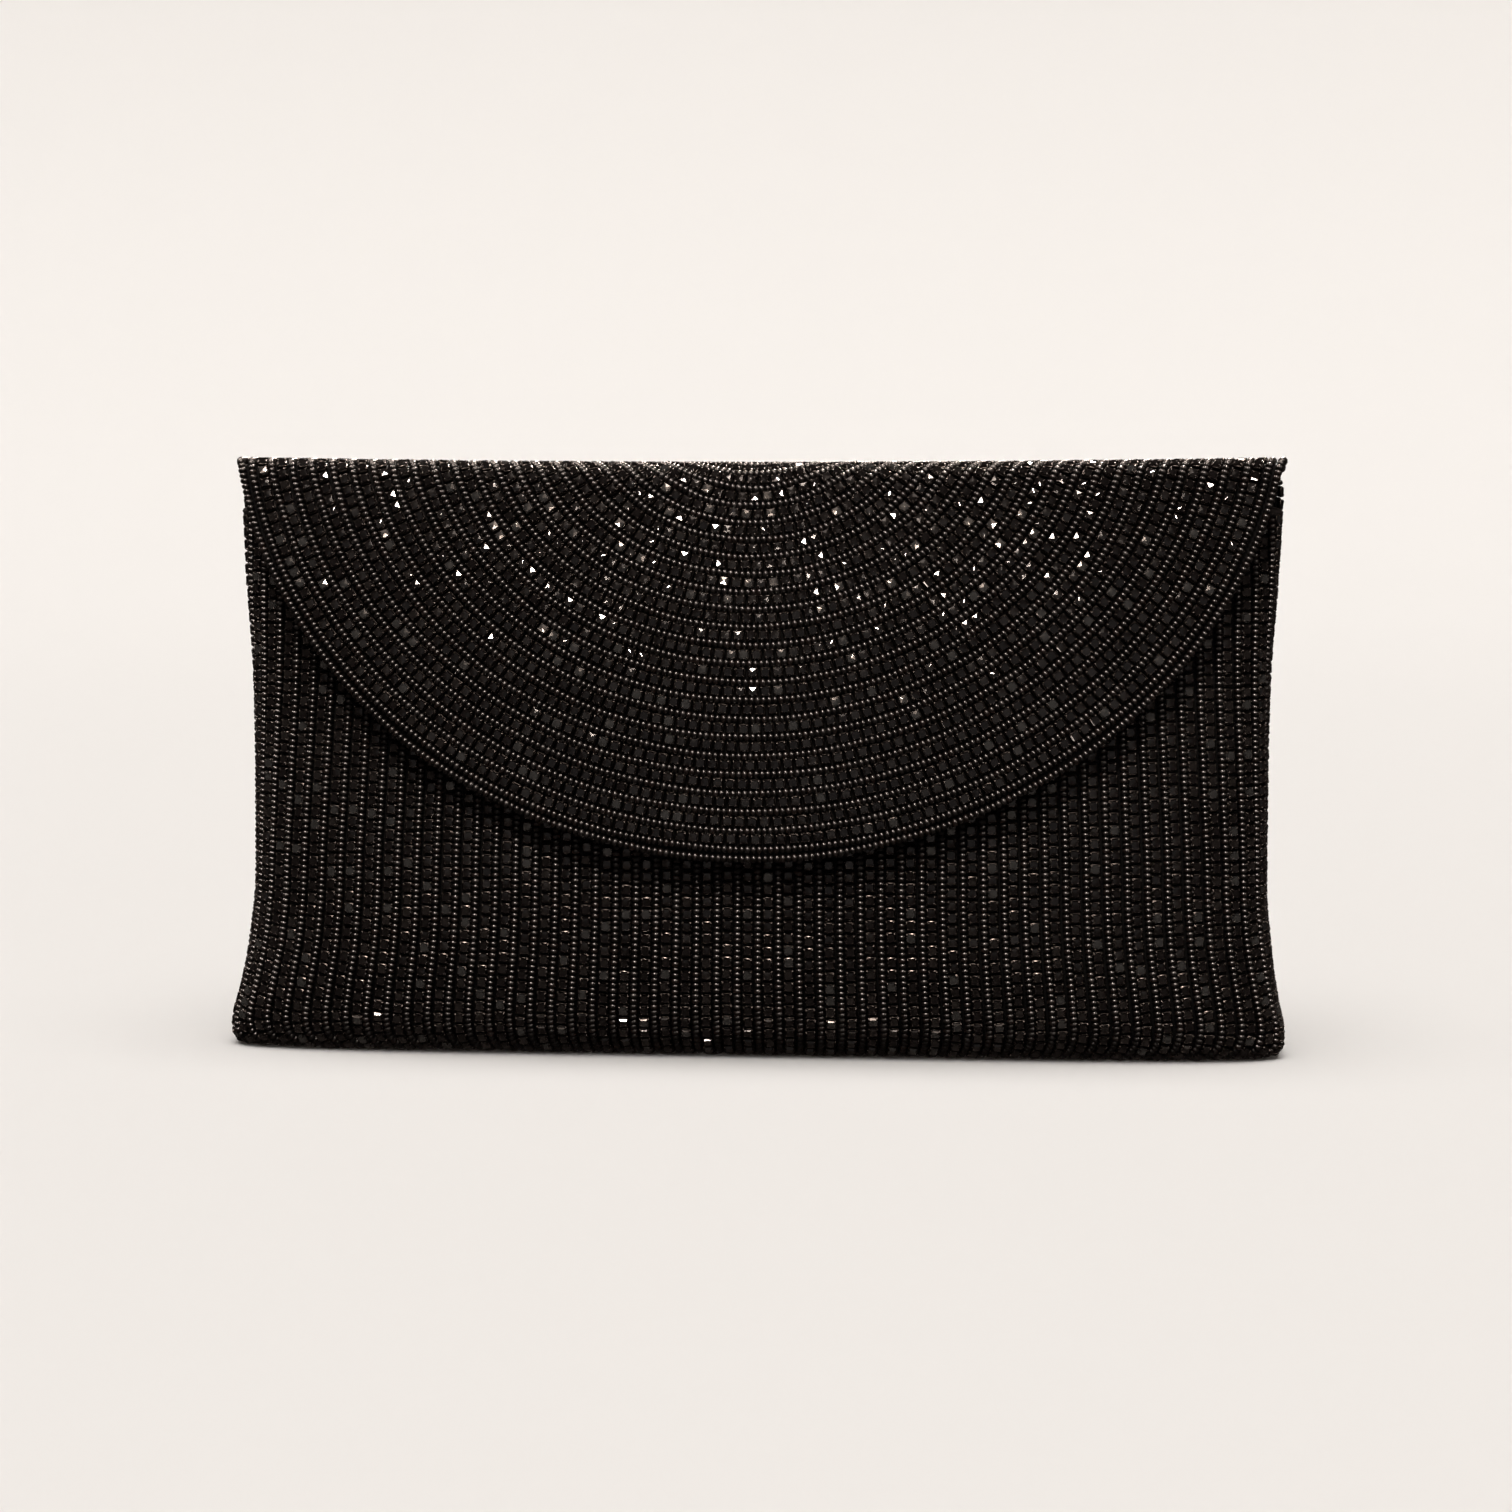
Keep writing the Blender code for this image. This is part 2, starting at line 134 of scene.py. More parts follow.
def smooth_curve(pairs):
    """A smooth function through (position, value) pairs that never overshoots them."""
    xs = np.array([pair[0] for pair in pairs])
    ys = np.array([pair[1] for pair in pairs])
    slopes = np.diff(ys) / np.diff(xs)
    before, after = slopes[:-1], slopes[1:]
    total = np.where(before * after > 0, before + after, 1.0)
    inner = np.where(before * after > 0, 2 * before * after / total, 0.0)
    tangents = np.concatenate([slopes[:1], inner, slopes[-1:]])

    def value(position):
        position = np.clip(position, xs[0], xs[-1])
        i = np.clip(np.searchsorted(xs, position, side="right") - 1, 0, len(xs) - 2)
        width = xs[i + 1] - xs[i]
        t = (position - xs[i]) / width
        start = ys[i] * (1 + 2 * t) + tangents[i] * width * t
        end = ys[i + 1] * (3 - 2 * t) - tangents[i + 1] * width * (1 - t)
        return start * (1 - t) ** 2 + end * t ** 2

    return value


def unit(vectors):
    return vectors / np.maximum(np.linalg.norm(vectors, axis=-1, keepdims=True), 1e-12)


def smoothstep(value, low, high):
    t = np.clip((value - low) / (high - low), 0.0, 1.0)
    return t * t * (3 - 2 * t)


def ripple(first, second, seed):
    """Gentle waves between -1 and 1 over a surface, for cloth that isn't perfectly flat."""
    phases = np.random.default_rng(seed).uniform(0, 2 * math.pi, 4)
    return (0.35 * np.sin(first * 71 + phases[0]) * np.cos(second * 83 + phases[1])
            + 0.35 * np.sin(first * 113 - second * 59 + phases[2])
            + 0.30 * np.sin(first * 37 + second * 131 + phases[3]))


# The body's surface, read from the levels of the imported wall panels

def wall_outline(node, side):
    """Smooth functions of height: a wall's half width, and its depth from the seam plane."""
    levels = {}
    for vertex in frame["nodes"][node].data.vertices:
        levels.setdefault(round(vertex.co.z, 4), []).append(vertex.co)
    widths, depths = [], []
    for height, points in sorted(levels.items()):
        half_width = max(abs(point.x) for point in points)
        if half_width > 0.9 * FLAP_HALF_WIDTH:
            widths.append((height, half_width))
            depths.append((height, max(side * (point.y - SEAM_Y) for point in points)))
    return smooth_curve(widths), smooth_curve(depths)


WALLS = {
    -1: (*wall_outline("front_beaded_panel", -1), smooth_curve(FRONT_POWER)),
    1: (*wall_outline("back_beaded_panel", 1), smooth_curve(BACK_POWER)),
}


def settled(points):
    """The foot of the body leans a little to the viewer's left, as a used soft purse does."""
    near_foot = np.clip(1 - points[..., 2] / LEAN_HEIGHT, 0.0, 1.0) ** 2
    left = smoothstep(-points[..., 0], 0.08, FLAP_HALF_WIDTH)
    moved = np.array(points)
    moved[..., 0] -= near_foot * (LEAN + LEFT_CORNER_LEAN * left)
    return moved


def wall_points(side, angle, height, depth):
    width_at, depth_at, power_at = WALLS[side]
    half_width = width_at(height) - depth
    half_depth = depth_at(height) - depth
    exponent = 2 / power_at(height)
    cosine, sine = np.cos(angle), np.clip(np.sin(angle), 0.0, 1.0)
    x = half_width * np.sign(cosine) * np.abs(cosine) ** exponent
    y = SEAM_Y + side * half_depth * sine ** exponent
    return np.stack(np.broadcast_arrays(x, y, height), axis=-1)


def wall_normals(side, angle, height):
    """Outward directions of a wall, from finite steps along its section and its height."""
    step, rise = 1e-3, 1e-4
    inner = np.clip(angle, 2 * step, math.pi - 2 * step)
    along = wall_points(side, inner + step, height, 0.0) - wall_points(side, inner - step, height, 0.0)
    up = wall_points(side, inner, height + rise, 0.0) - wall_points(side, inner, height - rise, 0.0)
    normal = unit(np.cross(along, up))
    return normal * side


def dense_angles():
    """Section angles that crowd where a squarish section turns fastest: at its ends and middle."""
    share = np.linspace(0.0, 1.0, 700)
    eased = share ** 3.5 / (share ** 3.5 + (1 - share) ** 3.5) * math.pi / 2
    return np.concatenate([eased, math.pi - eased[-2::-1]])


def column_angles(side, heights, columns):
    """Section angles that space the columns evenly round a wall, one row for each height."""
    dense = dense_angles()
    rows = []
    for height in heights:
        points = wall_points(side, dense, np.full_like(dense, height), 0.0)
        steps = np.linalg.norm(np.diff(points, axis=0), axis=1)
        length = np.concatenate([[0.0], np.cumsum(steps)])
        rows.append(np.interp(np.linspace(0, length[-1], columns + 1), length, dense))
    return np.array(rows)


def half_perimeter(height):
    dense = dense_angles()
    points = wall_points(-1, dense, np.full_like(dense, height), 0.0)
    return np.linalg.norm(np.diff(points, axis=0), axis=1).sum()


COLUMNS = 2 * round(half_perimeter(0.05) / ROW_SPACING / 2)
WALL_ROWS = 70
BASE_ROWS = 9
HEIGHT_BIAS = 1.7


def body_grid(depth, floor=0.0, columns=COLUMNS, top_gap=0.0, slack=0.0, seed=3):
    """Points and outward directions on columns that run down the front, under the base and up the back.

    Returns arrays of shape (rows, columns + 1, 3).
    """
    share = np.linspace(1.0, 0.0, WALL_ROWS)[:, None] ** HEIGHT_BIAS
    front_heights = floor + (FRONT_WALL_TOP - top_gap - floor) * share
    back_heights = (floor + (BACK_WALL_TOP - floor) * share)[::-1]
    front_angles = column_angles(-1, front_heights[:, 0], columns)
    back_angles = column_angles(1, back_heights[:, 0], columns)
    front = wall_points(-1, front_angles, front_heights, depth)
    back = wall_points(1, back_angles, back_heights, depth)
    front_out = wall_normals(-1, front_angles, front_heights)
    back_out = wall_normals(1, back_angles, back_heights)
    if slack:
        front -= front_out * (slack * (1 + ripple(front[..., 0], front[..., 2], seed)) / 2)[..., None]
        back -= back_out * (slack * (1 + ripple(back[..., 0], back[..., 2], seed + 1)) / 2)[..., None]
        front[..., 2] = np.maximum(front[..., 2], floor)
        back[..., 2] = np.maximum(back[..., 2], floor)
    across = np.linspace(0, 1, BASE_ROWS + 2)[1:-1, None, None]
    base = front[-1] + (back[0] - front[-1]) * across
    base_out = np.broadcast_to(np.array([0.0, 0.0, -1.0]), base.shape)
    return settled(np.concatenate([front, base, back])), np.concatenate([front_out, base_out, back_out])


# The flap's surface

def flap_profile(distance):
    """The middle line's (y, z) and its turn from level, at distances from the back fold."""
    corner = BACK_FOLD_RADIUS
    arc = FOLD_RADIUS * FOLD_TURN
    lower_radius = (FLAP_LENGTH - SPINE_WIDTH - arc) / LOWER_TURN
    turned = np.clip((distance - SPINE_WIDTH) / FOLD_RADIUS, 0.0, FOLD_TURN)
    lower = FOLD_TURN + np.maximum(distance - SPINE_WIDTH - arc, 0.0) / lower_radius
    y = BACK_FOLD_Y - np.minimum(distance, SPINE_WIDTH) - FOLD_RADIUS * np.sin(turned)
    z = TOP - FOLD_RADIUS * (1 - np.cos(turned))
    y = y - lower_radius * (np.sin(lower) - math.sin(FOLD_TURN))
    z = z - lower_radius * (math.cos(FOLD_TURN) - np.cos(lower))
    angle = turned + lower - FOLD_TURN
    back_turn = np.clip((corner - distance) / corner, 0.0, math.pi / 2)
    below = np.maximum(corner - distance - corner * math.pi / 2, 0.0)
    on_corner = distance < corner
    y = np.where(on_corner, BACK_FOLD_Y - corner + corner * np.sin(back_turn), y)
    z = np.where(on_corner, TOP - corner + corner * np.cos(back_turn) - below, z)
    angle = np.where(on_corner, -back_turn, angle)
    return y, z, angle


def flap_points(x, distance, depth):
    x, distance, depth = np.broadcast_arrays(x, distance, depth)
    y, z, angle = flap_profile(distance)
    flatter = 1 - FLATTENING * np.abs(x / FLAP_HALF_WIDTH) ** FLATTENING_POWER
    y = np.where(y < FRONT_FOLD_Y, FRONT_FOLD_Y + (y - FRONT_FOLD_Y) * flatter, y)
    sag = TOP_SAG * (1 - (x / FLAP_HALF_WIDTH) ** 2) * (1 - smoothstep(distance, 0.02, 0.07))
    wave = FLAP_WAVE * ripple(x, distance, 5) * smoothstep(distance, 0.02, 0.05)
    y = y + depth * np.sin(angle) + wave
    z = z - depth * np.cos(angle) - sag
    return np.stack([x, y, z], axis=-1)


def flap_normals(x, distance):
    step = 2e-4
    along = flap_points(x + step, distance, 0.0) - flap_points(x - step, distance, 0.0)
    down = flap_points(x, distance + step, 0.0) - flap_points(x, distance - step, 0.0)
    return unit(np.cross(down, along))


# Meshes made from arrays

def mesh_object(name, vertices, faces, materials, face_materials=None, smooth=True):
    """A mesh object from a vertex array and an array of triangles or quads."""
    mesh = bpy.data.meshes.new(name)
    corners = faces.shape[1]
    mesh.vertices.add(len(vertices))
    mesh.vertices.foreach_set("co", vertices.astype(np.float32).ravel())
    mesh.loops.add(faces.size)
    mesh.loops.foreach_set("vertex_index", faces.astype(np.int32).ravel())
    mesh.polygons.add(len(faces))
    mesh.polygons.foreach_set("loop_start", np.arange(0, faces.size, corners, dtype=np.int32))
    if face_materials is not None:
        mesh.polygons.foreach_set("material_index", face_materials.astype(np.int32))
    smooth_faces = np.broadcast_to(np.asarray(smooth, dtype=bool), len(faces))
    mesh.polygons.foreach_set("use_smooth", np.ascontiguousarray(smooth_faces))
    mesh.update(calc_edges=True)
    for material in materials:
        mesh.materials.append(material)
    piece = bpy.data.objects.new(name, mesh)
    bpy.context.scene.collection.objects.link(piece)
    return piece


def sheet_object(name, outer, inner, material):
    """A thin closed sheet between two grids of points of the same shape (rows, columns, 3)."""
    rows, columns = outer.shape[:2]
    index = np.arange(rows * columns).reshape(rows, columns)
    top = np.stack([index[:-1, :-1], index[1:, :-1], index[1:, 1:], index[:-1, 1:]], axis=-1).reshape(-1, 4)
    under = top[:, ::-1] + rows * columns
    rim = np.concatenate([index[0, :], index[1:, -1], index[-1, -2::-1], index[-2:0:-1, 0]])
    following = np.roll(rim, -1)
    sides = np.stack([rim, following, following + rows * columns, rim + rows * columns], axis=-1)
    vertices = np.concatenate([outer.reshape(-1, 3), inner.reshape(-1, 3)])
    piece = mesh_object(name, vertices, np.concatenate([top, under, sides]), [material])
    bm = bmesh.new()
    bm.from_mesh(piece.data)
    bmesh.ops.recalc_face_normals(bm, faces=bm.faces)
    if bm.calc_volume(signed=True) < 0:
        bmesh.ops.reverse_faces(bm, faces=bm.faces)
    bm.to_mesh(piece.data)
    bm.free()
    piece.data.set_sharp_from_angle(angle=math.radians(50))
    return piece


def ring_faces(rings, sides):
    """Triangles that join rings of vertices in order and close both ends."""
    faces = []
    for ring in range(rings - 1):
        for side in range(sides):
            a = ring * sides + side
            b = ring * sides + (side + 1) % sides
            faces += [(a, a + sides, b + sides), (a, b + sides, b)]
    last = (rings - 1) * sides
    for side in range(1, sides - 1):
        faces.append((0, side, side + 1))
        faces.append((last, last + side + 1, last + side))
    return faces


def seed_template():
    """One seed bead: a round barrel whose strand runs along its X."""
    sides = 8
    shape = ((-0.70, 0.44), (-0.50, 0.88), (0.0, 1.12), (0.50, 0.88), (0.70, 0.44))
    vertices = []
    for along, radius in shape:
        for side in range(sides):
            turn = 2 * math.pi * (side + 0.5) / sides
            vertices.append((along, radius * math.cos(turn), radius * math.sin(turn)))
    faces = ring_faces(len(shape), sides)
    return np.array(vertices) * 1e-3, np.array(faces), np.zeros(len(faces), int), True


def cut_square(half, corner, height):
    """The eight points of a square with cut corners, anticlockwise from above."""
    near, far = half - corner, half
    return [(far, -near, height), (far, near, height), (near, far, height), (-near, far, height),
            (-far, near, height), (-far, -near, height), (-near, -far, height), (near, -far, height)]


def stone_template():
    """One square stone: a metal cup, a faceted stone with a flat table, and four claws.

    Heights are above the cloth. Material 0 is the stone and 1 is the metal.
    """
    vertices, faces, materials = [], [], []

    def add_rings(rings, sides, material):
        first = len(vertices)
        for ring in rings:
            vertices.extend(ring)
        made = ring_faces(len(rings), sides)
        faces.extend([tuple(first + i for i in face) for face in made])
        materials.extend([material] * len(made))

    add_rings([cut_square(1.15, 0.30, 0.0), cut_square(1.38, 0.36, 0.70), cut_square(1.36, 0.38, 0.92)], 8, 1)
    add_rings([cut_square(1.20, 0.36, 0.93), cut_square(1.18, 0.36, 1.06), cut_square(0.92, 0.16, 1.56),
               cut_square(0.03, 0.01, 1.63)], 8, 0)
    # Sections of a claw: distance from the stone's middle, half width, height and thickness
    claw = ((1.62, 0.15, 0.35, 0.22), (1.70, 0.17, 0.95, 0.24), (1.42, 0.16, 1.38, 0.22),
            (0.98, 0.10, 1.58, 0.14))
    for turn in (45, 135, 225, 315):
        c, s = math.cos(math.radians(turn)), math.sin(math.radians(turn))
        rings = []
        for reach, half, height, thick in claw:
            corners = ((reach - thick / 2, -half), (reach - thick / 2, half), (reach + thick / 2, half),
                       (reach + thick / 2, -half))
            rings.append([(r * c - o * s, r * s + o * c, height + (thick if r > reach else 0) * 0.5)
                          for r, o in corners])
        add_rings(rings, 4, 1)
    return np.array(vertices) * 1e-3, np.array(faces), np.array(materials), np.array(materials) == 1


def outward(template):
    """Turn the template's triangles so that each closed part faces out."""
    vertices, faces, materials, smooth = template
    bm = bmesh.new()
    made = [bm.verts.new(vertex) for vertex in vertices]
    for face in faces:
        bm.faces.new([made[i] for i in face])
    bmesh.ops.recalc_face_normals(bm, faces=bm.faces)
    bm.verts.index_update()
    turned = np.array([[vertex.index for vertex in face.verts] for face in bm.faces])
    bm.free()
    return vertices, turned, materials, smooth


SEED = outward(seed_template())
STONE = outward(stone_template())


class Places:
    """Where beads sit: their centres, and the directions along the strand and out of the cloth."""

    def __init__(self):
        self.centres, self.along, self.out = [], [], []

    def add(self, centres, along, out):
        self.centres.append(centres)
        self.along.append(along)
        self.out.append(out)

    def arrays(self):
        return np.concatenate(self.centres), np.concatenate(self.along), np.concatenate(self.out)


def bead_axes(along, out, tilt):
    """Each bead's own axes, with a small random turn so that no two catch the light alike."""
    count = len(along)
    out = unit(out - along * (out * along).sum(-1, keepdims=True))
    side = np.cross(out, along)
    out = unit(out + along * rng.normal(0, tilt, (count, 1)) + side * rng.normal(0, tilt, (count, 1)))
    along = unit(along + side * rng.normal(0, tilt * 0.6, (count, 1)))
    along = unit(along - out * (along * out).sum(-1, keepdims=True))
    return along, np.cross(out, along), out


def bead_mesh(name, template, centres, axes, materials, finishes, scale):
    """All the beads of one piece as one mesh. finishes gives the number of each bead's glass material."""
    shape, faces, parts, smooth = template
    along, side, out = axes
    count = len(centres)
    smooth = np.tile(np.broadcast_to(smooth, len(faces)), count)
    grown = shape[None, :, :] * scale[:, None, None]
    vertices = (centres[:, None, :] + grown[..., 0:1] * along[:, None, :]
                + grown[..., 1:2] * side[:, None, :] + grown[..., 2:3] * out[:, None, :])
    offsets = (np.arange(count) * len(shape))[:, None, None]
    all_faces = (faces[None] + offsets).reshape(-1, 3)
    metal = len(materials) - 1
    face_materials = np.where(parts[None, :] == 1, metal, finishes[:, None]).ravel()
    return mesh_object(name, vertices.reshape(-1, 3), all_faces, materials, face_materials, smooth)


def along_line(points, out, pitch, start):
    """Evenly spaced places on a line of points: position, direction of the line, outward direction."""
    steps = np.linalg.norm(np.diff(points, axis=0), axis=1)
    length = np.concatenate([[0.0], np.cumsum(steps)])
    if length[-1] < pitch:
        return None
    spots = np.arange(start, length[-1] - pitch * 0.3, pitch)
    place = np.stack([np.interp(spots, length, points[:, k]) for k in range(3)], axis=-1)
    direction = unit(np.gradient(points, length + np.arange(len(length)) * 1e-9, axis=0))
    along = unit(np.stack([np.interp(spots, length, direction[:, k]) for k in range(3)], axis=-1))
    normal = unit(np.stack([np.interp(spots, length, out[:, k]) for k in range(3)], axis=-1))
    return place, along, normal


# Materials

def new_material(name, colour, roughness, metallic=0.0, ior=1.5, coat=0.0):
    material = bpy.data.materials.new(name)
    material.use_nodes = True
    shader = material.node_tree.nodes["Principled BSDF"]
    shader.inputs["Base Color"].default_value = (*colour, 1.0)
    shader.inputs["Roughness"].default_value = roughness
    shader.inputs["Metallic"].default_value = metallic
    shader.inputs["IOR"].default_value = ior
    shader.inputs["Coat Weight"].default_value = coat
    return material


def add_node(material, kind, **inputs):
    node = material.node_tree.nodes.new(kind)
    for key, value in inputs.items():
        node.inputs[key].default_value = value
    return node


def link(material, start, end):
    material.node_tree.links.new(start, end)


def noisy_surface(material, dark, light, scale, bump, distance):
    """Object-space noise that varies the colour between two values and roughens the surface."""
    shader = material.node_tree.nodes["Principled BSDF"]
    place = add_node(material, "ShaderNodeTexCoord")
    noise = add_node(material, "ShaderNodeTexNoise", Scale=scale, Detail=6.0, Roughness=0.6)
    ramp = add_node(material, "ShaderNodeValToRGB")
    ramp.color_ramp.elements[0].color = (*dark, 1.0)
    ramp.color_ramp.elements[1].color = (*light, 1.0)
    ramp.color_ramp.elements[0].position = 0.3
    ramp.color_ramp.elements[1].position = 0.7
    relief = add_node(material, "ShaderNodeBump", Strength=bump, Distance=distance)
    link(material, place.outputs["Object"], noise.inputs["Vector"])
    link(material, noise.outputs["Fac"], ramp.inputs["Fac"])
    link(material, ramp.outputs["Color"], shader.inputs["Base Color"])
    link(material, noise.outputs["Fac"], relief.inputs["Height"])
    link(material, relief.outputs["Normal"], shader.inputs["Normal"])
    return material


def woven_surface(material, dark, light, thread, bump):
    """A fine weave of two crossing wave patterns, in object space, over a soft colour change."""
    shader = material.node_tree.nodes["Principled BSDF"]
    place = add_node(material, "ShaderNodeTexCoord")
    warp = add_node(material, "ShaderNodeTexWave", Scale=1 / thread, Distortion=0.6)
    weft = add_node(material, "ShaderNodeTexWave", Scale=1 / thread, Distortion=0.6)
    warp.bands_direction = "X"
    weft.bands_direction = "Z"
    cross = add_node(material, "ShaderNodeMath")
    cross.operation = "MAXIMUM"
    cloud = add_node(material, "ShaderNodeTexNoise", Scale=45.0, Detail=4.0)
    share = add_node(material, "ShaderNodeMath")
    share.operation = "MULTIPLY"
    ramp = add_node(material, "ShaderNodeValToRGB")
    ramp.color_ramp.elements[0].color = (*dark, 1.0)
    ramp.color_ramp.elements[1].color = (*light, 1.0)
    relief = add_node(material, "ShaderNodeBump", Strength=bump, Distance=0.0002)
    for pattern in (warp, weft, cloud):
        link(material, place.outputs["Object"], pattern.inputs["Vector"])
    link(material, warp.outputs["Fac"], cross.inputs[0])
    link(material, weft.outputs["Fac"], cross.inputs[1])
    link(material, cross.outputs["Value"], share.inputs[0])
    link(material, cloud.outputs["Fac"], share.inputs[1])
    link(material, share.outputs["Value"], ramp.inputs["Fac"])
    link(material, ramp.outputs["Color"], shader.inputs["Base Color"])
    link(material, cross.outputs["Value"], relief.inputs["Height"])
    link(material, relief.outputs["Normal"], shader.inputs["Normal"])
    return material


SEED_FINISHES = [
    new_material("jet_seed", (0.0030, 0.0018, 0.0015), 0.30),
    new_material("brown_black_seed", (0.0070, 0.0032, 0.0022), 0.32),
    new_material("worn_seed", (0.0050, 0.0032, 0.0027), 0.38),
]
STONE_FINISHES = [
    new_material("jet_stone", (0.0046, 0.0034, 0.0032), 0.05, ior=1.75),
    new_material("smoky_stone", (0.0090, 0.0070, 0.0062), 0.06, ior=1.9),
    new_material("grey_foil_stone", (0.095, 0.088, 0.082), 0.12, metallic=0.75),
    new_material("claw_metal", (0.045, 0.040, 0.037), 0.30, metallic=1.0),
]
cloth_material = woven_surface(new_material("base_cloth", (0.01, 0.01, 0.01), 0.8),
                               (0.0015, 0.0012, 0.0012), (0.0045, 0.0036, 0.0032), 0.0006, 0.4)
satin = woven_surface(new_material("black_satin", (0.02, 0.02, 0.02), 0.38),
                      (0.010, 0.009, 0.010), (0.034, 0.031, 0.032), 0.00035, 0.25)
satin.node_tree.nodes["Principled BSDF"].inputs["Sheen Weight"].default_value = 0.15
satin.node_tree.nodes["Principled BSDF"].inputs["Specular IOR Level"].default_value = 0.25
cloth_material.node_tree.nodes["Principled BSDF"].inputs["Specular IOR Level"].default_value = 0.06
binding = woven_surface(new_material("brown_black_binding", (0.03, 0.02, 0.02), 0.62),
                        (0.006, 0.004, 0.0035), (0.022, 0.015, 0.012), 0.0005, 0.6)
binding.node_tree.nodes["Principled BSDF"].inputs["Specular IOR Level"].default_value = 0.15
thread = noisy_surface(new_material("black_thread", (0.02, 0.02, 0.02), 0.6),
                       (0.014, 0.013, 0.013), (0.040, 0.036, 0.034), 900.0, 0.5, 0.0001)
nickel = noisy_surface(new_material("dark_nickel", (0.4, 0.4, 0.4), 0.28, metallic=1.0),
                       (0.36, 0.35, 0.34), (0.46, 0.45, 0.44), 500.0, 0.08, 0.0001)
board_material = noisy_surface(new_material("dark_board", (0.03, 0.03, 0.03), 0.9),
                               (0.020, 0.019, 0.017), (0.045, 0.042, 0.038), 260.0, 0.4, 0.0003)
magnet_material = noisy_surface(new_material("plain_magnet", (0.2, 0.2, 0.2), 0.45, metallic=0.9),
                                (0.16, 0.16, 0.17), (0.24, 0.24, 0.25), 400.0, 0.2, 0.0002)
steel_material = noisy_surface(new_material("zinc_steel", (0.55, 0.55, 0.54), 0.35, metallic=1.0),
                               (0.46, 0.46, 0.46), (0.62, 0.62, 0.60), 350.0, 0.2, 0.0002)


# Building the pieces

# How each kind of bead varies: the random turn in radians, the spread and limits of its size, and the
# share of each finish. The last two are its template and its materials.
SEED_KIND = (MOST_SEEDS_PER_PIECE, 0.07, 0.03, (0.92, 1.06), (0.62, 0.23, 0.15), SEED, SEED_FINISHES)
STONE_KIND = (MOST_STONES_PER_PIECE, 0.06, 0.015, (0.90, 1.10), (0.60, 0.30, 0.10), STONE, STONE_FINISHES)


def place_beads(name, places, seeds, attach, node):
    """Make the beads of one region, cut into pieces of limited size from left to right."""
    most, tilt, spread, limits, shares, template, materials = SEED_KIND if seeds else STONE_KIND
    centres, along, out = places.arrays()
    order = np.argsort(centres[:, 0], kind="stable")
    pieces = math.ceil(len(order) / most)
    for number, chosen in enumerate(np.array_split(order, pieces)):
        count = len(chosen)
        axes = bead_axes(along[chosen], out[chosen], tilt)
        scale = rng.normal(1.0, spread, count).clip(*limits)
        finishes = rng.choice(len(shares), count, p=shares)
        beads = bead_mesh(f"{name}_{number + 1}", template, centres[chosen], axes, materials,
                          finishes, scale)
        attach(beads)
        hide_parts(node)


def ride_body(piece):
    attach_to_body(piece, BODY)


def bend_front(piece):
    """Bake a flap piece's placement into its mesh; the piece is not bent here."""
    end = flap_points(np.array(0.0), np.array(SPINE_WIDTH + FOLD_RADIUS * FOLD_TURN), 0.0)
    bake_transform(piece)


def bend_back(piece):
    """Bake a strip piece's placement into its mesh; the piece is not bent here."""
    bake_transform(piece)


def snap_place(node):
    """A snap piece's frame: origin at its lowest point on its axis, +Z out of the front wall."""
    points = np.array([vertex.co for vertex in frame["nodes"][node].data.vertices])
    _, _, angle = flap_profile(np.array(SNAP_DISTANCE))
    out = np.array([0.0, -math.sin(angle), math.cos(angle)])
    up = np.array([0.0, math.cos(angle), math.sin(angle)])
    heights, rises = points @ out, points @ up
    origin = out * heights.min() + up * (rises.min() + rises.max()) / 2
    return Vector(origin), Vector(out)


def make_body_beads():
    points, out = body_grid(SEED_RADIUS, floor=SEED_RADIUS + FLOOR_CLEARANCE)
    stone_points, stone_out = body_grid(STONE_DEPTH, floor=STONE_DEPTH + FLOOR_CLEARANCE)
    first_base = WALL_ROWS
    last_base = WALL_ROWS + BASE_ROWS
    regions = {
        ("front", True): Places(), ("front", False): Places(),
        ("base", True): Places(), ("base", False): Places(),
        ("back", True): Places(), ("back", False): Places(),
    }
    spans = {"front": (0, first_base + 1), "base": (first_base - 1, last_base + 1),
             "back": (last_base, len(points))}
    snap_centre = np.array(snap_place("snap_socket_case")[0])
    for column in range(COLUMNS + 1):
        seeds = column % 2 == 0
        grid, directions = (points, out) if seeds else (stone_points, stone_out)
        pitch = SEED_PITCH if seeds else STONE_PITCH
        for region, (first, last) in spans.items():
            at_seam = column in (0, COLUMNS)
            if at_seam and region != "front":
                continue
            line = along_line(grid[first:last, column], directions[first:last, column], pitch,
                              pitch * rng.uniform(0.3, 0.8))
            if line is None:
                continue
            place, along, normal = line
            if region == "front":
                keep = np.linalg.norm(place - snap_centre, axis=1) > SNAP_CLEARANCE
                place, along, normal = place[keep], along[keep], normal[keep]
            regions[region, seeds].add(place, along, normal)
    nodes = {"front": "front_beaded_panel", "base": "base_beaded_panel", "back": "back_beaded_panel"}
    for (region, seeds), places in regions.items():
        kind = "seed_beads" if seeds else "stones"
        place_beads(f"{region}_{kind}", places, seeds, ride_body, nodes[region])


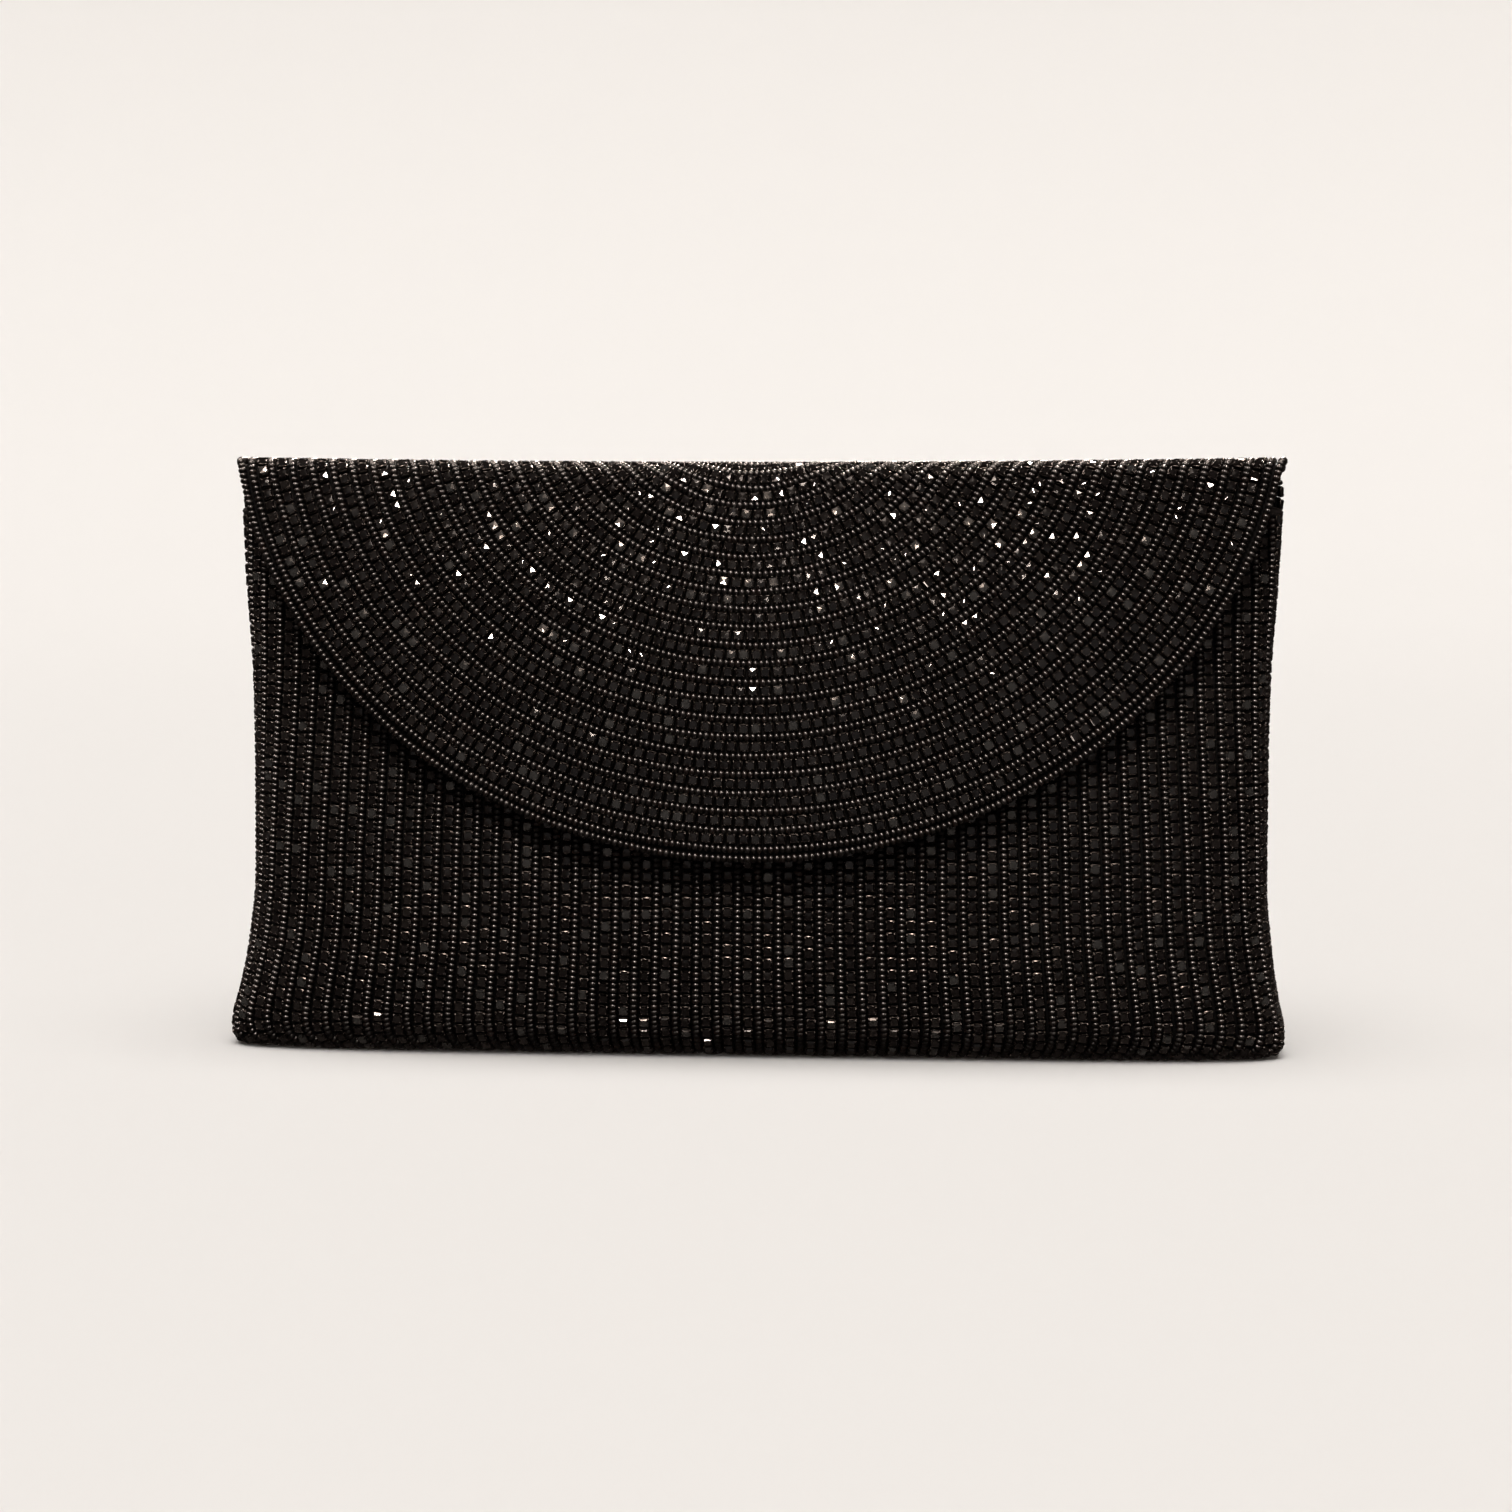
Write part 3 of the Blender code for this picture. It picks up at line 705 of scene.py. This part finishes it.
def make_flap_beads():
    """Concentric half ellipses: two seed rows at the edge, then stones and seeds in turn."""
    strip_middle = SPINE_WIDTH / 2
    regions = {(where, seeds): Places() for where in ("spine", "flap") for seeds in (True, False)}
    ratio = FLAP_LENGTH / FLAP_HALF_WIDTH
    radius = FLAP_HALF_WIDTH - EDGE_ROW_INSET
    row = 0
    while radius > ROW_SPACING:
        seeds = row < 2 or row % 2 == 1
        pitch = SEED_PITCH if seeds else STONE_PITCH
        depth = SEED_RADIUS if seeds else STONE_DEPTH
        turn = np.linspace(0.0, math.pi, 900)
        wander = 0.00012 * np.sin(turn * 9 + row * 1.7) + 0.00008 * np.sin(turn * 23 + row * 2.9)
        x = (radius + wander) * np.cos(turn)
        distance = ratio * (radius + wander) * np.sin(turn) + 0.0006
        points = flap_points(x, distance, depth)
        out = flap_normals(x, distance)
        line = along_line(points, out, pitch, pitch * rng.uniform(0.1, 0.6))
        if line is not None:
            place, along, normal = line
            on_strip = place[:, 1] > BACK_FOLD_Y - strip_middle
            for where, chosen in (("spine", on_strip), ("flap", ~on_strip)):
                if chosen.any():
                    regions[where, seeds].add(place[chosen], along[chosen], normal[chosen])
        radius -= ROW_SPACING
        row += 1
    for (where, seeds), places in regions.items():
        kind = "seed_beads" if seeds else "stones"
        node = "spine_beaded_strip" if where == "spine" else "flap_beaded_panel"
        attach = bend_back if where == "spine" else bend_front
        place_beads(f"{where}_{kind}", places, seeds, attach, node)


def make_body_cloth():
    outer, _ = body_grid(CLOTH_DEPTH, floor=CLOTH_FLOOR)
    inner, _ = body_grid(CLOTH_DEPTH + CLOTH_THICKNESS, floor=CLOTH_FLOOR + CLOTH_THICKNESS)
    cloth = sheet_object("body_cloth", outer, inner, cloth_material)
    ride_body(cloth)
    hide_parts("front_beaded_panel", "back_beaded_panel", "base_beaded_panel",
                "left_side_gusset", "right_side_gusset")
    outer, _ = body_grid(LINING_DEPTH, floor=LINING_FLOOR, slack=LINING_SLACK)
    inner, _ = body_grid(LINING_DEPTH + LINING_THICKNESS, floor=LINING_FLOOR + LINING_THICKNESS,
                         slack=LINING_SLACK)
    lining = sheet_object("body_lining", outer, inner, satin)
    ride_body(lining)
    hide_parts("front_lining", "back_lining", "base_lining")


def flap_grid(depth_at, start, inset, rows=70, columns=120):
    """Points on the flap from a straight edge to the curved rim, with depth_at(distance) below it."""
    half_width = FLAP_HALF_WIDTH - inset
    length = FLAP_LENGTH - inset
    widest = half_width * math.sqrt(1 - (max(start, 0.0) / length) ** 2) * 0.9995
    x = widest * np.sin(np.linspace(-math.pi / 2, math.pi / 2, columns))[None, :]
    end = length * np.sqrt(np.maximum(1 - (x / half_width) ** 2, 0.0))
    share = np.linspace(0.0, 1.0, rows)[:, None]
    distance = start + (end - start) * share
    x = np.broadcast_to(x, distance.shape)
    return flap_points(x, distance, depth_at(distance))


def lining_depth(distance):
    """The lining drops behind the board, which starts where the front fold ends."""
    fold_end = SPINE_WIDTH + FOLD_RADIUS * FOLD_TURN
    share = smoothstep(distance, SPINE_WIDTH, fold_end)
    return SPINE_LINING_DEPTH + (LINING_DEPTH - SPINE_LINING_DEPTH) * share


def strip_grid(depth, skirt, last, rows=30, columns=80):
    """The strip along the top, with a skirt that runs down inside the back wall's cloth."""
    across = np.linspace(-1, 1, columns)[None, :]
    distance = np.linspace(0.0, last, rows)[:, None]
    top = flap_points(*np.broadcast_arrays(across * (FLAP_HALF_WIDTH - EDGE_ROW_INSET), distance), depth)
    heights = np.linspace(skirt, BACK_WALL_TOP - 0.0005, 10)[:, None]
    width_at, depth_at, power_at = WALLS[1]
    inset = depth + SKIRT_INSET
    half_width, half_depth = width_at(heights) - inset, depth_at(heights) - inset
    y = SEAM_Y + half_depth * (1 - np.abs(across) ** power_at(heights)) ** (1 / power_at(heights))
    wall = np.stack(np.broadcast_arrays(across * half_width, y, heights), axis=-1)
    return np.concatenate([wall, top])


def make_flap_cloth():
    """The beaded cloth and the satin of the flap, and of the strip along the top."""
    middle = SPINE_WIDTH / 2
    skirt = BACK_WALL_TOP - SKIRT_HEIGHT

    def flap_layer(depth_at):
        return flap_grid(depth_at, middle, EDGE_ROW_INSET)

    def cloth_depth(distance):
        return distance * 0 + CLOTH_DEPTH

    sheets = (
        ("flap_cloth", flap_layer(cloth_depth), flap_layer(lambda s: cloth_depth(s) + CLOTH_THICKNESS),
         cloth_material, bend_front, "flap_beaded_panel", "edge_binding"),
        ("flap_satin_lining", flap_layer(lining_depth),
         flap_layer(lambda s: lining_depth(s) + LINING_THICKNESS),
         satin, bend_front, "flap_lining", "satin"),
        ("spine_cloth", strip_grid(CLOTH_DEPTH, skirt, middle),
         strip_grid(CLOTH_DEPTH + CLOTH_THICKNESS, skirt, middle),
         cloth_material, bend_back, "spine_beaded_strip", "edge_binding"),
        ("spine_satin_lining", strip_grid(SPINE_LINING_DEPTH, skirt, middle),
         strip_grid(SPINE_LINING_DEPTH + LINING_THICKNESS, skirt, middle),
         satin, bend_back, "spine_lining", "satin"),
    )
    for name, outer, inner, material, bend, node, slot in sheets:
        sheet = sheet_object(name, outer, inner, material)
        bend(sheet)
        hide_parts(node)


def tube_strip(name, centre, first_axis, second_axis, first_radius, second_radius, material, sides=8):
    """A closed tube along rows of centre points, with an oval section on two given axes."""
    turn = np.linspace(0, 2 * math.pi, sides, endpoint=False)
    points = (centre[:, None, :] + first_axis[:, None, :] * (first_radius * np.cos(turn))[None, :, None]
              + second_axis[:, None, :] * (second_radius * np.sin(turn))[None, :, None])
    rows = len(centre)
    faces = np.array(ring_faces(rows, sides))
    strip = mesh_object(name, points.reshape(-1, 3), faces, [material])
    bm = bmesh.new()
    bm.from_mesh(strip.data)
    bmesh.ops.recalc_face_normals(bm, faces=bm.faces)
    bm.to_mesh(strip.data)
    bm.free()
    return strip


def sew(name, points, out, attach, node, spacing=0.0034, length=0.0023, radius=0.00017):
    """A line of short thread stitches that dip into the cloth at both ends."""
    line = along_line(points, out, spacing, spacing / 2)
    place, along, normal = line
    side = np.cross(normal, along)
    sides = 6
    turn = np.linspace(0, 2 * math.pi, sides, endpoint=False)
    shape = []
    for reach, thick, lift in ((-0.5, 0.35, -0.9), (-0.4, 0.9, 0.0), (0.0, 1.0, 0.45), (0.4, 0.9, 0.0),
                               (0.5, 0.35, -0.9)):
        ring = [(reach * length, radius * thick * math.cos(a), radius * (lift + thick * math.sin(a)))
                for a in turn]
        shape.extend(ring)
    shape = np.array(shape)
    faces = np.array(ring_faces(5, sides))
    vertices = (place[:, None] + shape[None, :, 0:1] * along[:, None] + shape[None, :, 1:2] * side[:, None]
                + shape[None, :, 2:3] * normal[:, None])
    all_faces = (faces[None] + (np.arange(len(place)) * len(shape))[:, None, None]).reshape(-1, 3)
    stitches = mesh_object(name, vertices.reshape(-1, 3), all_faces, [thread])
    attach(stitches)
    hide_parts(node)


def make_flap_rim():
    """The turned edge: a soft rolled strip between the edge row of beads and the lining."""
    first = 0.02
    turn = np.linspace(first, math.pi - first, 260)
    x = (FLAP_HALF_WIDTH - RIM_INSET) * np.cos(turn)
    distance = (FLAP_LENGTH - RIM_INSET) * np.sin(turn)
    depth = (lining_depth(distance) + LINING_THICKNESS + CLOTH_DEPTH) / 2 + 0.0001
    centre = flap_points(x, distance, depth)
    out = flap_normals(x, distance)
    along = unit(np.gradient(centre, axis=0))
    side = unit(np.cross(along, out))
    rim = tube_strip("flap_rim", centre, side, out, 0.0007, 0.00125, binding, 10)
    bend_front(rim)
    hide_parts("flap_edge_binding")
    x = (FLAP_HALF_WIDTH - RIM_STITCH_INSET) * np.cos(turn)
    distance = (FLAP_LENGTH - RIM_STITCH_INSET) * np.sin(turn)
    on_flap = distance > SPINE_WIDTH
    seam = flap_points(x, distance, lining_depth(distance) + LINING_THICKNESS)[on_flap]
    sew("flap_edge_stitches", seam, -flap_normals(x, distance)[on_flap], bend_front, "flap_edge_binding")


def make_mouth_trim():
    """The binding along the top of the front wall, with its line of stitches."""
    angles = np.linspace(0.02, math.pi - 0.02, 200)
    heights = np.full_like(angles, FRONT_WALL_TOP)
    centre = wall_points(-1, angles, heights, MOUTH_TRIM_DEPTH)
    out = wall_normals(-1, angles, heights)
    out[:, 2] = 0
    out = unit(out)
    up = np.broadcast_to(np.array([0.0, 0.0, 1.0]), out.shape)
    trim = tube_strip("mouth_trim", centre, out, up, MOUTH_TRIM_DEPTH, MOUTH_TRIM_RISE, binding, 10)
    ride_body(trim)
    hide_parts("mouth_binding")
    seam = wall_points(-1, angles, heights + 0.0011, MOUTH_TRIM_DEPTH)
    sew("mouth_stitches", seam, up, ride_body, "mouth_binding")


def make_pocket():
    """The flat pocket on the back lining, with its binding and two lines of stitches."""
    low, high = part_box("slip_pocket")
    trim_low, trim_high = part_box("pocket_binding")

    def pocket_points(bottom, top, depth, rows):
        heights = np.linspace(bottom, top, rows)[:, None]
        x = np.linspace(low.x, high.x, 50)[None, :]
        x, heights = np.broadcast_arrays(x, heights)
        width_at, depth_at, power_at = WALLS[1]
        half_width, half_depth = width_at(heights) - depth, depth_at(heights) - depth
        power = power_at(heights)
        y = SEAM_Y + half_depth * (1 - np.abs(x / half_width) ** power) ** (1 / power)
        bulge = POCKET_BULGE * np.sin(math.pi * (x - low.x) / (high.x - low.x))
        return np.stack([x, y - bulge * smoothstep(heights, low.z, high.z), heights], axis=-1)

    depth = LINING_DEPTH + LINING_THICKNESS + POCKET_GAP
    outer = pocket_points(low.z, high.z + 0.001, depth, 30)
    inner = pocket_points(low.z, high.z + 0.001, depth + POCKET_THICKNESS, 30)
    pocket = sheet_object("pocket_fabric", outer, inner, satin)
    trim_depth = depth + POCKET_TRIM_THICKNESS
    trim = sheet_object("pocket_trim", pocket_points(trim_low.z, trim_high.z, depth - 0.0002, 6),
                        pocket_points(trim_low.z, trim_high.z, trim_depth, 6), binding)
    for number, height in enumerate((trim_low.z + 0.0008, trim_high.z - 0.0008)):
        seam = pocket_points(height, height, trim_depth, 1)[0]
        inward = np.broadcast_to(np.array([0.0, -1.0, 0.0]), seam.shape)
        sew(f"pocket_stitches_{number + 1}", seam, inward, ride_body, "pocket_binding")
    for piece, node, slot in ((pocket, "slip_pocket", "satin"), (trim, "pocket_binding", "edge_binding")):
        ride_body(piece)
        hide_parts(node)


def turned_object(name, node, profile, material):
    """Spin a profile of (radius, height) points in millimetres round a snap piece's axis."""
    origin, out = snap_place(node)
    sides = 64
    turn = np.linspace(0, 2 * math.pi, sides, endpoint=False)
    rings = [[(r * math.cos(a), r * math.sin(a), h) for a in turn] for r, h in profile]
    vertices = np.array(rings).reshape(-1, 3) * 1e-3
    piece = mesh_object(name, vertices, np.array(ring_faces(len(profile), sides)), [material])
    turn_to = out.to_track_quat("Z", "Y").to_matrix().to_4x4()
    piece.data.transform(Matrix.Translation(origin) @ turn_to)
    bm = bmesh.new()
    bm.from_mesh(piece.data)
    bmesh.ops.recalc_face_normals(bm, faces=bm.faces)
    bm.to_mesh(piece.data)
    bm.free()
    piece.data.set_sharp_from_angle(angle=math.radians(40))
    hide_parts(node)
    return piece


def make_snap():
    socket_profile = ((0.01, 0.0), (6.7, 0.0), (7.0, 0.3), (7.0, 2.1), (6.9, 2.4), (6.5, 2.6), (4.2, 2.6),
                      (3.9, 2.45), (3.6, 2.45), (3.3, 2.5), (3.2, 2.3), (3.2, 0.6), (0.01, 0.5))
    socket = turned_object("snap_socket", "snap_socket_case", socket_profile, nickel)
    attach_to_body(socket, BODY)
    stud_profile = ((0.01, 0.0), (1.9, 0.0), (2.4, 0.15), (2.6, 0.45), (2.45, 0.9), (2.6, 1.3), (6.6, 1.3),
                    (6.9, 1.45), (7.0, 1.7), (6.9, 2.1), (6.6, 2.3), (0.01, 2.3))
    stud = turned_object("snap_stud", "snap_stud_plate", stud_profile, nickel)
    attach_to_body(stud, FLAP)


def dress_hidden_nodes():
    """Inner pieces keep their CAD shapes and get their own materials."""
    dressed = {
        board_material: ("front_board", "back_board", "base_board", "flap_board"),
        magnet_material: ("snap_socket_magnet",),
        steel_material: ("snap_socket_washer", "snap_stud_washer"),
    }
    for material, nodes in dressed.items():
        for node in nodes:
            mesh = frame["nodes"][node].data
            mesh.materials.clear()
            mesh.materials.append(material)


# The set: a pale seamless floor, soft studio light and the camera

FLAT_RADIUS = 1.6               # of the floor, before its edge curves up
BOWL_RADIUS = 3.0

# Lights: name, azimuth, elevation and spread in degrees, and strength. Azimuth 0 is the front.
GLINTS = (
    ("high_glint", -6, 58, 3.5, 7.0),
    ("low_glint", -5, 34, 3, 0.85),
    ("side_glint", 50, 35, 6, 1.5),
    ("back_glint", 172, 42, 8, 7.0),
    ("left_glint", -110, 50, 8, 3.0),
)
FILLS = (("fill", 0, 78, 60, 3.06), ("low_fill", 0, 40, 60, 0.35))
GLINT_COLOUR = (1.0, 0.84, 0.74)

# Panels: name, place and radiance
PANELS = (("front_panel", (0.1, -1.9, 0.45), 0.06), ("back_panel", (-0.2, 1.9, 0.45), 0.12))
PANEL_SIZE = (1.6, 1.2)
WORLD_COLOUR = (1.0, 0.76, 0.64, 1.0)
WORLD_STRENGTH = 0.04

CAMERA_DISTANCE = 0.90
CAMERA_AZIMUTH = math.radians(5.0)
CAMERA_HEIGHT = 0.155
CAMERA_AIM = Vector((0.0004, 0.0, 0.0765))
CAMERA_LENS = 83.8


def make_set():
    """A floor that is flat round the purse and rises like a bowl far away, so it has no horizon."""
    floor_material = new_material("pale_floor", (0.785, 0.75, 0.715), 0.9)
    floor_material.node_tree.nodes["Principled BSDF"].inputs["Specular IOR Level"].default_value = 0.0
    bm = bmesh.new()
    profile = [(FLAT_RADIUS / 2, 0.0), (FLAT_RADIUS, 0.0)]
    profile += [(FLAT_RADIUS + BOWL_RADIUS * math.sin(a), BOWL_RADIUS - BOWL_RADIUS * math.cos(a))
                for a in np.linspace(0.04, 0.95, 24)]
    turns = np.linspace(0, 2 * math.pi, 96, endpoint=False)
    rings = [[bm.verts.new((r * math.sin(t), r * math.cos(t), z)) for t in turns] for r, z in profile]
    bm.faces.new(rings[0][::-1])
    for inner, outer in zip(rings, rings[1:]):
        for i in range(len(turns)):
            j = (i + 1) % len(turns)
            bm.faces.new((inner[i], inner[j], outer[j], outer[i]))
    bmesh.ops.recalc_face_normals(bm, faces=bm.faces)
    mesh = bpy.data.meshes.new("floor")
    bm.to_mesh(mesh)
    bm.free()
    mesh.materials.append(floor_material)
    mesh.shade_smooth()
    floor = bpy.data.objects.new("floor", mesh)
    floor.visible_glossy = False
    bpy.context.scene.collection.objects.link(floor)


def add_light(name, azimuth, elevation, spread, strength, colour=(1, 1, 1)):
    """A distant light: every part of the set gets the same light. Angles are in degrees."""
    light = bpy.data.lights.new(name, "SUN")
    light.angle = math.radians(spread)
    light.energy = strength
    light.color = colour
    lamp = bpy.data.objects.new(name, light)
    bpy.context.scene.collection.objects.link(lamp)
    turn, rise = math.radians(azimuth), math.radians(elevation)
    towards = Vector((math.sin(turn) * math.cos(rise), -math.cos(turn) * math.cos(rise), math.sin(rise)))
    lamp.location = towards * 2
    lamp.rotation_euler = towards.to_track_quat("Z", "Y").to_euler()
    return lamp


def add_panel(name, place, aim, size, radiance):
    """A broad soft panel that shows only in glossy reflections."""
    light = bpy.data.lights.new(name, "AREA")
    light.shape = "RECTANGLE"
    light.size, light.size_y = size
    light.energy = radiance * math.pi * size[0] * size[1]
    lamp = bpy.data.objects.new(name, light)
    bpy.context.scene.collection.objects.link(lamp)
    lamp.location = place
    lamp.rotation_euler = (Vector(place) - Vector(aim)).to_track_quat("Z", "Y").to_euler()
    lamp.visible_camera = False
    lamp.visible_diffuse = False
    return lamp


def make_light():
    """Small lights and dim panels show only as reflections, and broad fills light the set."""
    world = bpy.data.worlds.new("studio")
    bpy.context.scene.world = world
    world.use_nodes = True
    world.node_tree.nodes["Background"].inputs["Color"].default_value = WORLD_COLOUR
    world.node_tree.nodes["Background"].inputs["Strength"].default_value = WORLD_STRENGTH
    for glint in GLINTS:
        add_light(*glint, GLINT_COLOUR).visible_diffuse = False
    for name, place, radiance in PANELS:
        add_panel(name, place, (0, 0, 0.08), PANEL_SIZE, radiance)
    for fill in FILLS:
        add_light(*fill).visible_glossy = False


def make_camera():
    """The camera stands level with the top of the purse, a little right of its middle."""
    camera = bpy.data.cameras.new("camera")
    camera.lens = CAMERA_LENS
    camera.sensor_width = 36.0
    camera.clip_end = 20.0
    holder = bpy.data.objects.new("camera", camera)
    bpy.context.scene.collection.objects.link(holder)
    holder.location = (CAMERA_DISTANCE * math.sin(CAMERA_AZIMUTH),
                       -CAMERA_DISTANCE * math.cos(CAMERA_AZIMUTH), CAMERA_HEIGHT)
    holder.rotation_euler = (CAMERA_AIM - holder.location).to_track_quat("-Z", "Y").to_euler()
    bpy.context.scene.camera = holder


def main():
    make_camera()
    make_light()
    make_set()
    bpy.context.scene.view_settings.view_transform = "Standard"
    make_body_beads()
    make_flap_beads()
    make_body_cloth()
    make_flap_cloth()
    make_flap_rim()
    make_mouth_trim()
    make_pocket()
    make_snap()
    dress_hidden_nodes()


main()
